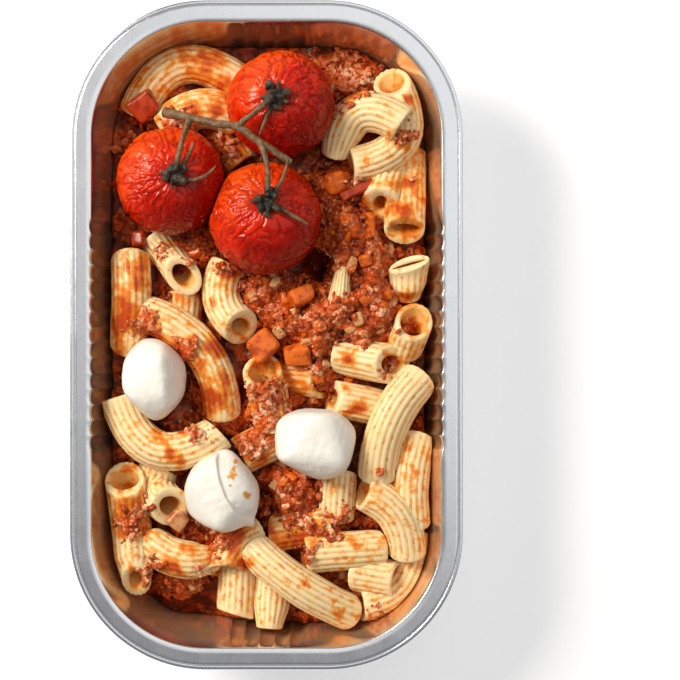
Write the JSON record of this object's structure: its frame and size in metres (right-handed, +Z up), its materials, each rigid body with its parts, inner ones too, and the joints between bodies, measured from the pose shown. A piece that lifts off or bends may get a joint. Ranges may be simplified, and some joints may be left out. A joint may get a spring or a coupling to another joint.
{
  "type": "dish of macaroni bolognese",
  "caption": "Oblong aluminium meal tray filled with ridged macaroni in bolognese sauce, with roasted tomatoes on the vine and balls of mozzarella on top.",
  "frame": {"origin": "centre of the tray's underside, on the surface that the tray stands on", "axes": "+Z up, +Y along the tray towards the end with the tomatoes, +X across the tray"},
  "size_m": [0.114, 0.194, 0.0513],
  "materials": {
    "aluminium": "satin",
    "pasta_and_sauce": "moist",
    "tomato": "glossy, wrinkled by roasting",
    "mozzarella": "moist",
    "vine": "dry"
  },
  "bodies": {
    "root": {"tray": "aluminium", "macaroni_bolognese": "pasta_and_sauce", "tomato_top": "tomato", "tomato_left": "tomato", "tomato_right": "tomato", "mozzarella_left": "mozzarella", "mozzarella_right": "mozzarella", "mozzarella_bottom": "mozzarella", "vine": "vine"}
  },
  "joints": []
}
